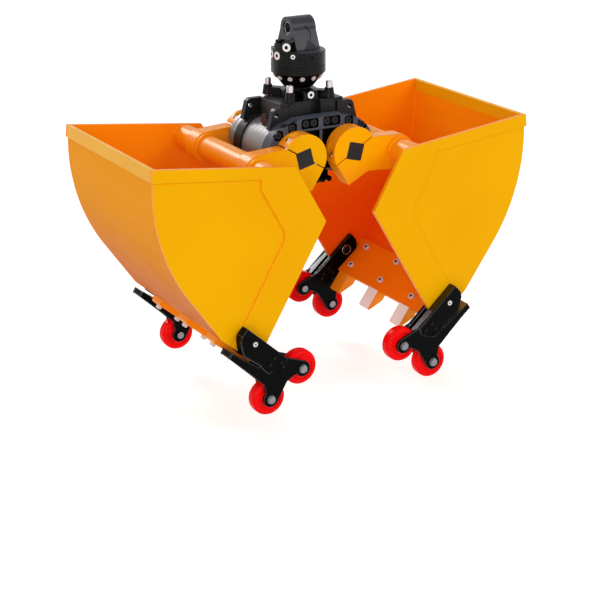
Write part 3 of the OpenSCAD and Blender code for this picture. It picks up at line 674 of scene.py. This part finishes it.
class GRAB_OT_rotator(bpy.types.Operator):
    """Rotator with its lug, port block, cover and bolts"""
    bl_idname = "grab.rotator"
    bl_label = "Rotator"

    def execute(self, context):
        s = sizes()

        def housing_highlight_faces(centre, normal):
            """The lug and the housing's cast top take a lighter blue-grey, a painted highlight on
            what faces up; the turned body below is black.
            """
            in_lug = abs(centre.x) < LUG_HALF + MM and centre.z > LUG_FOOT_Z
            return int(in_lug or (centre.z > HOUSING_RIM_Z and normal.z > 0.5))

        def lug_edge(edge):
            """The lug's outline on both faces, without its bore, groove and foot."""
            spot = middle(edge)
            return (outline_edge(edge, 0) and abs(abs(spot.x) - LUG_HALF) < MM
                    and spot.z > LUG_ROUND_Z and spot.length > LUG_BORE_CLEAR)

        dress("rotator_housing", "Rotator-housing", ["rotator", "lug"], s.machined_edge,
              housing_highlight_faces, soft=lug_edge, radius=s.lug_round)
        dress("lug_bush", "Lug-bush", ["steel"], s.machined_edge)
        dress("rotator_cover", "Rotator-cover", ["rotator"], s.machined_edge)
        dress("cover_bolts", "Cover-bolts", ["nut"], s.socket_edge)
        dress("port_plugs", "Port-plugs", ["nylon", "enamel"], s.machined_edge, port_socket_shade_faces)
        dress("hose_fitting", "Hose-fitting", ["enamel"], s.machined_edge)
        dress("slew_ring", "Slew-ring", ["steel"], s.machined_edge)
        return {"FINISHED"}


class GRAB_OT_drive(bpy.types.Operator):
    """Flange, yoke, drive tubes, end plates and valve block"""
    bl_idname = "grab.drive"
    bl_label = "Drive unit"

    def execute(self, context):
        s = sizes()
        dress("rotor_flange", "Rotor-flange", ["rotator"], s.casting_edge * 0.6)
        dress("flange_studs", "Flange-studs", ["zinc"], s.machined_edge)
        dress("flange_plug", "Flange-plug", ["nylon", "enamel"], s.machined_edge, port_socket_shade_faces)
        dress("suspension_yoke", "Suspension-yoke", ["yoke"], s.plate_edge)
        dress("rear_saddle", "Rear-saddle", ["yoke"], s.plate_edge)
        for side in SIDES:
            dress(f"drive_tube_{side}", f"Drive-tube-{side}", ["tube"], s.machined_edge)

        def end_plate_pocket_shade(centre, normal):
            """The pockets round the screws are painted black as shade, the cast face is grey."""
            return int(POCKET_DEPTH[0] < centre.y < POCKET_DEPTH[1])

        dress("front_end_plate", "End-plate-front", ["casting", "enamel"], s.casting_edge * 0.6,
              end_plate_pocket_shade)
        dress("rear_end_plate", "End-plate-rear", ["tube"], s.machined_edge)
        dress("end_plate_bolts", "End-plate-bolts", ["shaft"], s.screw_edge)
        dress("valve_block", "Valve-block", ["enamel"], s.machined_edge)
        dress("shaft_bushes", "Shaft-bushes", ["bronze"], s.fine_edge)
        return {"FINISHED"}


def painted_light_broad_or_side(centre, normal):
    """Faces across the grab and those that look down are mat and take the first finish, whose
    colour paints their light; all others have a gloss.
    """
    return int(abs(normal.y) < 0.9 and normal.z > -0.2)


class GRAB_OT_arms(bpy.types.Operator):
    """Square shafts, arms, hub caps and torque tubes"""
    bl_idname = "grab.arms"
    bl_label = "Arms and torque tubes"

    def execute(self, context):
        s = sizes()
        for side in SIDES:
            # Painted light: the right arms' broad faces take the arms' coat with its painted shade,
            # the left ones the lit coat
            broad = "arm" if side == "right" else "coat"

            def arm_edge(edge, side=side):
                """The outline of an arm or cap, without its tube, its split and its square."""
                spot = middle(edge)
                x, z = closed_place(side, spot)
                at_tube = math.hypot(sign(side) * spot.x - TUBE_X, spot.z - TUBE_Z)
                at_split = abs(z) < SPLIT_HALF and abs(x) < SPLIT_REACH
                on_arm = z < -SPLIT_HALF and max(abs(x), abs(z)) > ARM_FACE_CLEAR
                on_cap = z > SPLIT_HALF and math.hypot(x, z) > CAP_FACE_CLEAR
                return (outline_edge(edge, 1) and at_tube > TUBE_R + 2 * MM and not at_split
                        and (on_arm or on_cap))

            dress(f"shaft_{side}", f"Square-shaft-{side}", ["shaft"], s.machined_edge)
            for end in ENDS:
                # The rear arms take the arms' coat with its painted shade
                face = broad if end == "front" else "arm"
                dress(f"arm_{end}_{side}", f"Arm-{end}-{side}", [face, "gloss"],
                      s.machined_edge, painted_light_broad_or_side, soft=arm_edge,
                      radius=s.arm_round)
            dress(f"hub_caps_{side}", f"Hub-caps-{side}", [broad, "gloss"],
                  s.machined_edge, painted_light_broad_or_side, soft=arm_edge,
                  radius=s.arm_round)
            dress(f"cap_bolts_{side}", f"Cap-bolts-{side}", ["zinc"], s.screw_edge)
            dress(f"torque_tube_{side}", f"Torque-tube-{side}", ["gloss"], s.machined_edge)
            bm = bmesh.new()
            for way in (-1, 1):
                for y in (ARM_IN, ARM_OUT, SIDE_IN):
                    ring = circle_points(
                        (sign(side) * TUBE_X, way * y, TUBE_Z), (0, 1, 0), TUBE_R + MM, 72)
                    round_path(bm, ring, s.bead, ripple=s.bead_pitch)
            new_piece(f"Tube-welds-{side}", bm, "gloss", f"{side}_shell")
        return {"FINISHED"}


class GRAB_OT_shells(bpy.types.Operator):
    """Side plates, back plates, rim bars, cutting plates and teeth"""
    bl_idname = "grab.shells"
    bl_label = "Shells"

    def execute(self, context):
        s = sizes()
        for side in SIDES:
            for end in ENDS:
                low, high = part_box(f"side_{end}_{side}")
                inner = high.y if end == "front" else low.y

                def plate_faces(centre, normal, inner=inner):
                    """Outer face in the lit coat, inner face in the inside coat with its painted
                    shade, and the cut edges between them.
                    """
                    if abs(normal.y) < 0.9:
                        return 2
                    return int(abs(centre.y - inner) < 0.5 * MM)

                dress(f"side_{end}_{side}", f"Side-plate-{end}-{side}",
                      ["coat", "inside", "gloss"], s.plate_edge, plate_faces)
            way = sign(side)

            def back_faces(centre, normal, way=way):
                """The outer side sinks to a brown orange, the inner side to a red one, both as
                painted shade low down.
                """
                return int(normal.x * way < -0.05 or normal.z > 0.35)

            dress(f"back_plate_{side}", f"Back-plate-{side}", ["back", "inside"],
                  s.fold, back_faces, angle=3)
            dress(f"rim_bar_{side}", f"Rim-bar-{side}", ["rim"], s.plate_edge)

            def cutting_faces(centre, normal, way=way):
                """The upper faces, which the load slides over, and all others."""
                return int(normal.z > 0.2 and normal.x * way < 0.3)

            def tooth_highlight_faces(centre, normal, way=way):
                """Two teeth in three get a painted highlight on their upper faces; the rear one
                keeps its coat.
                """
                return int(cutting_faces(centre, normal, way) and centre.y < REAR_TOOTH_Y)

            # The cutting plates' upper faces take a deeper orange: painted shade inside the shell
            dress(f"cutting_plate_{side}", f"Cutting-plate-{side}", ["gloss", "ledge"],
                  s.plate_edge, cutting_faces)
            # The teeth's upper faces carry a painted highlight
            dress(f"teeth_{side}", f"Teeth-{side}", ["gloss", "tooth_highlight_coat"], s.plate_edge,
                  tooth_highlight_faces)

            def bolt_socket_shade_faces(centre, normal, way=way):
                """Heads and nuts are pale, the sockets in them painted dark as shade."""
                run = ((centre.x * way - TOOTH_BOLT[0]) * math.cos(PLATE_RISE)
                       + (centre.z - TOOTH_BOLT[1]) * math.sin(PLATE_RISE))
                along_plate = min(abs(run), abs(run - TOOTH_BOLT_STEP))
                across = min(abs(centre.y * way - y) for y in TOOTH_BOLT_Y)
                return int(math.hypot(along_plate, across) < TOOTH_SOCKET_R)

            dress(f"tooth_bolts_{side}", f"Tooth-bolts-{side}", ["nut", "rotator"], s.screw_edge,
                  bolt_socket_shade_faces)
            first, last = BACK_ANGLES
            turns = [first + (last - first) * i / BACK_FOLDS for i in range(BACK_FOLDS + 1)]
            bm = bmesh.new()
            for y in (-SIDE_IN, SIDE_IN):
                corners = [
                    shell_point(side, BACK_CENTRE[0] + BACK_INNER_R * math.cos(a), y,
                                BACK_CENTRE[1] + BACK_INNER_R * math.sin(a))
                    for a in turns]
                round_path(bm, filled_in(corners, s.bead_pitch / 4), s.bead, closed=False,
                           ripple=s.bead_pitch)
            # The seam welds inside share the inside coat's painted shade
            new_piece(f"Seam-welds-{side}", bm, "inside", f"{side}_shell")
        return {"FINISHED"}


class GRAB_OT_rollers(bpy.types.Operator):
    """Roller frames, their pins and bolts, and the eight wheels"""
    bl_idname = "grab.rollers"
    bl_label = "Roller frames and wheels"

    def execute(self, context):
        s = sizes()
        for side in SIDES:
            for end in ENDS:
                out = -1 if end == "front" else 1

                def frame_faces(centre, normal, out=out, side=side):
                    """The edge between the cheeks is the strip, whose last stretch carries a
                    painted reflection.
                    """
                    between = STRIP_Y[0] < centre.y * out < STRIP_Y[1]
                    lean = (shell_point(side, STRIP_WAY[0], 0, STRIP_WAY[1])
                            - shell_point(side, 0, 0, 0))
                    return int(between and normal.dot(lean.normalized()) > 0.95)

                # The frames' broken edges take the lighter edge enamel, a painted highlight
                dress(f"roller_frame_{end}_{side}", f"Roller-frame-{end}-{side}",
                      ["enamel", "strip", "edge"], s.plate_edge, frame_faces,
                      edge_finish=2)
                bm = bmesh.new()
                pin = shell_point(side, PIN[0], out * PIN_RING_Y, PIN[1])
                round_path(bm, circle_points(pin, (0, 1, 0), PIN_RING_R, 48), s.pin_wire)
                new_piece(f"Pin-ring-{end}-{side}", bm, "zinc", f"{side}_shell")
                for place in ("inner", "outer"):
                    node = f"wheel_{end}_{place}_{side}"
                    dress(node, f"Wheel-{end}-{place}-{side}", ["tyre"], s.fine_edge)

            def hardware_faces(centre, normal, side=side):
                """Axle bolts grey, pins bright outside and dark inside, the screws black."""
                x, z = closed_place(side, centre)
                if min(math.hypot(x - p[0], z - p[1]) for p in AXLES) < BOLT_CLEAR:
                    return 0
                at_pin = math.hypot(x - PIN[0], z - PIN[1]) < BOLT_CLEAR
                if at_pin and abs(centre.y) > PIN_INNER_Y:
                    return 1
                return 2

            dress(f"roller_hardware_{side}", f"Roller-hardware-{side}",
                  ["bolt", "zinc", "rotator"], s.screw_edge, hardware_faces)
        return {"FINISHED"}


def seen_rays(tree):
    """1 for rays that show a surface itself: to the camera, mirrored or let through."""
    rays = add_node(tree, "ShaderNodeLightPath")
    shown = add_node(
        tree, "ShaderNodeMath", {"operation": "ADD", "use_clamp": True},
        {0: rays.outputs["Is Camera Ray"], 1: rays.outputs["Is Glossy Ray"]})
    return add_node(
        tree, "ShaderNodeMath", {"operation": "ADD", "use_clamp": True},
        {0: shown.outputs["Value"], 1: rays.outputs["Is Transmission Ray"]})


class GRAB_OT_studio(bpy.types.Operator):
    """Pale floor, soft studio light and the camera"""
    bl_idname = "grab.studio"
    bl_label = "Studio"

    def execute(self, context):
        self.floor()
        self.world(context.scene)
        self.lamp("Key-light", (0.45, -0.8, 0.5), 0.8, 30)
        self.lamp("Front-light", (-0.75, -0.75, 0.4), 0.95, 40)
        self.lamp("Rim-light", (-0.1, 0.84, 0.5), 1.1, 20)
        self.camera(context.scene)
        context.scene.view_settings.view_transform = "Standard"
        return {"FINISHED"}

    def floor(self):
        """A wide matt floor that shows white and keeps the shadow."""
        bm = bmesh.new()
        bmesh.ops.create_grid(bm, x_segments=8, y_segments=8, size=30.0)
        for vert in bm.verts:
            vert.co.z = FLOOR_Z
        mesh = bpy.data.meshes.new("Studio-floor")
        bm.to_mesh(mesh)
        bm.free()
        floor = bpy.data.objects.new("Studio-floor", mesh)
        bpy.context.scene.collection.objects.link(floor)
        material, tree, shader, _ = new_finish(
            "Studio floor, matt", Roughness=0.9, Specular_IOR_Level=0.0,
            Base_Color=rgba(colours().floor))
        glow = add_node(
            tree, "ShaderNodeMath", {"operation": "MULTIPLY", 1: FLOOR_GLOW},
            {0: seen_rays(tree).outputs["Value"]})
        shader.inputs["Emission Color"].default_value = (1, 1, 1, 1)
        tree.links.new(glow.outputs["Value"], shader.inputs["Emission Strength"])
        mesh.materials.append(material)

    def world(self, scene):
        """White where it is seen, and half as bright where it lights the object."""
        world = bpy.data.worlds.new("Studio")
        scene.world = world
        world.use_nodes = True
        sky = world.node_tree
        sky.nodes.clear()
        strength = add_node(
            sky, "ShaderNodeMapRange", {"To Min": 0.5, "To Max": 1.0},
            {"Value": seen_rays(sky).outputs["Value"]})
        light = add_node(
            sky, "ShaderNodeBackground", {"Color": (1, 1, 1, 1)},
            {"Strength": strength.outputs["Result"]})
        add_node(sky, "ShaderNodeOutputWorld", feeds={"Surface": light.outputs["Background"]})

    def camera(self, scene):
        """The camera, at the angle that shows the drive and both shells from above."""
        data = bpy.data.cameras.new("Photo-view")
        data.lens = CAMERA_LENS
        data.sensor_width = 36
        data.clip_end = 100
        camera = bpy.data.objects.new("Photo-view", data)
        turn = Matrix((CAMERA_RIGHT, CAMERA_UP, CAMERA_RIGHT.cross(CAMERA_UP))).transposed()
        camera.matrix_world = Matrix.Translation(CAMERA_PLACE) @ turn.to_4x4()
        scene.collection.objects.link(camera)
        scene.camera = camera

    def lamp(self, name, direction, strength, spread):
        """A wide soft sun that shines from a direction."""
        data = bpy.data.lights.new(name, "SUN")
        data.energy = strength
        data.angle = math.radians(spread)
        lamp = bpy.data.objects.new(name, data)
        lamp.rotation_mode = "QUATERNION"
        lamp.rotation_quaternion = Vector(direction).to_track_quat("Z", "Y")
        bpy.context.scene.collection.objects.link(lamp)


class GRAB_PT_panel(bpy.types.Panel):
    """Lists the grab's colours, sizes and building steps"""
    bl_idname = "GRAB_PT_panel"
    bl_label = "Ring Grab"
    bl_space_type = "VIEW_3D"
    bl_region_type = "UI"
    bl_category = "Ring Grab"

    def draw(self, context):
        for group in (context.scene.grab_colours, context.scene.grab_sizes):
            box = self.layout.box()
            for name in group.__annotations__:
                box.prop(group, name)
        for step in STEPS:
            self.layout.operator(step.bl_idname)


STEPS = (GRAB_OT_studio, GRAB_OT_rotator, GRAB_OT_drive, GRAB_OT_arms, GRAB_OT_shells,
         GRAB_OT_rollers)
CLASSES = (GrabColours, GrabSizes, *STEPS, GRAB_PT_panel)


def register():
    for cls in CLASSES:
        bpy.utils.register_class(cls)
    bpy.types.Scene.grab_colours = bpy.props.PointerProperty(type=GrabColours)
    bpy.types.Scene.grab_sizes = bpy.props.PointerProperty(type=GrabSizes)


def unregister():
    del bpy.types.Scene.grab_sizes
    del bpy.types.Scene.grab_colours
    for cls in reversed(CLASSES):
        bpy.utils.unregister_class(cls)


def main():
    register()
    bpy.ops.grab.studio()
    bpy.ops.grab.rotator()
    bpy.ops.grab.drive()
    bpy.ops.grab.arms()
    bpy.ops.grab.shells()
    bpy.ops.grab.rollers()


if __name__ == "__main__":
    main()
